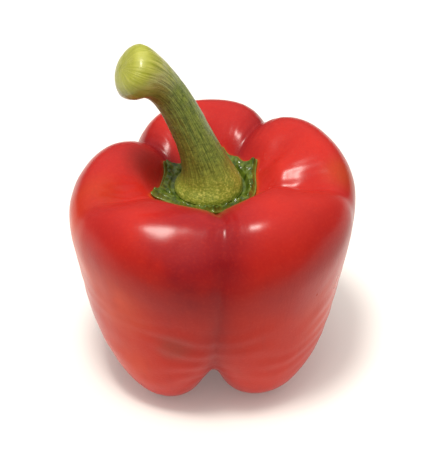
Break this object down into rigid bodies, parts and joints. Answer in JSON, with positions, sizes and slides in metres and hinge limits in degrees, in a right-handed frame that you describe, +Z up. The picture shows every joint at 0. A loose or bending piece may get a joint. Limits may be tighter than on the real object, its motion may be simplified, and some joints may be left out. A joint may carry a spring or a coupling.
{
  "type": "bell pepper",
  "caption": "Blocky red bell pepper standing on its lobed feet, with a bedded green calyx and a leaning stem that ends in a swollen cut knob.",
  "frame": {"origin": "on the surface the pepper stands on, under the middle of its bounding box", "axes": "+Z up along the fruit's core, +Y away from the viewer of the picture, +X to the viewer's right"},
  "size_m": [0.083, 0.083, 0.1078],
  "materials": {
    "pepper_skin": "taut waxy red skin, glossy",
    "calyx_green": "bumpy dark green calyx, moist sheen",
    "stem_green": "fibrous yellow-green stem, satin"
  },
  "bodies": {
    "root": {"fruit": "pepper_skin", "calyx": "calyx_green", "stem": "stem_green"}
  },
  "joints": []
}
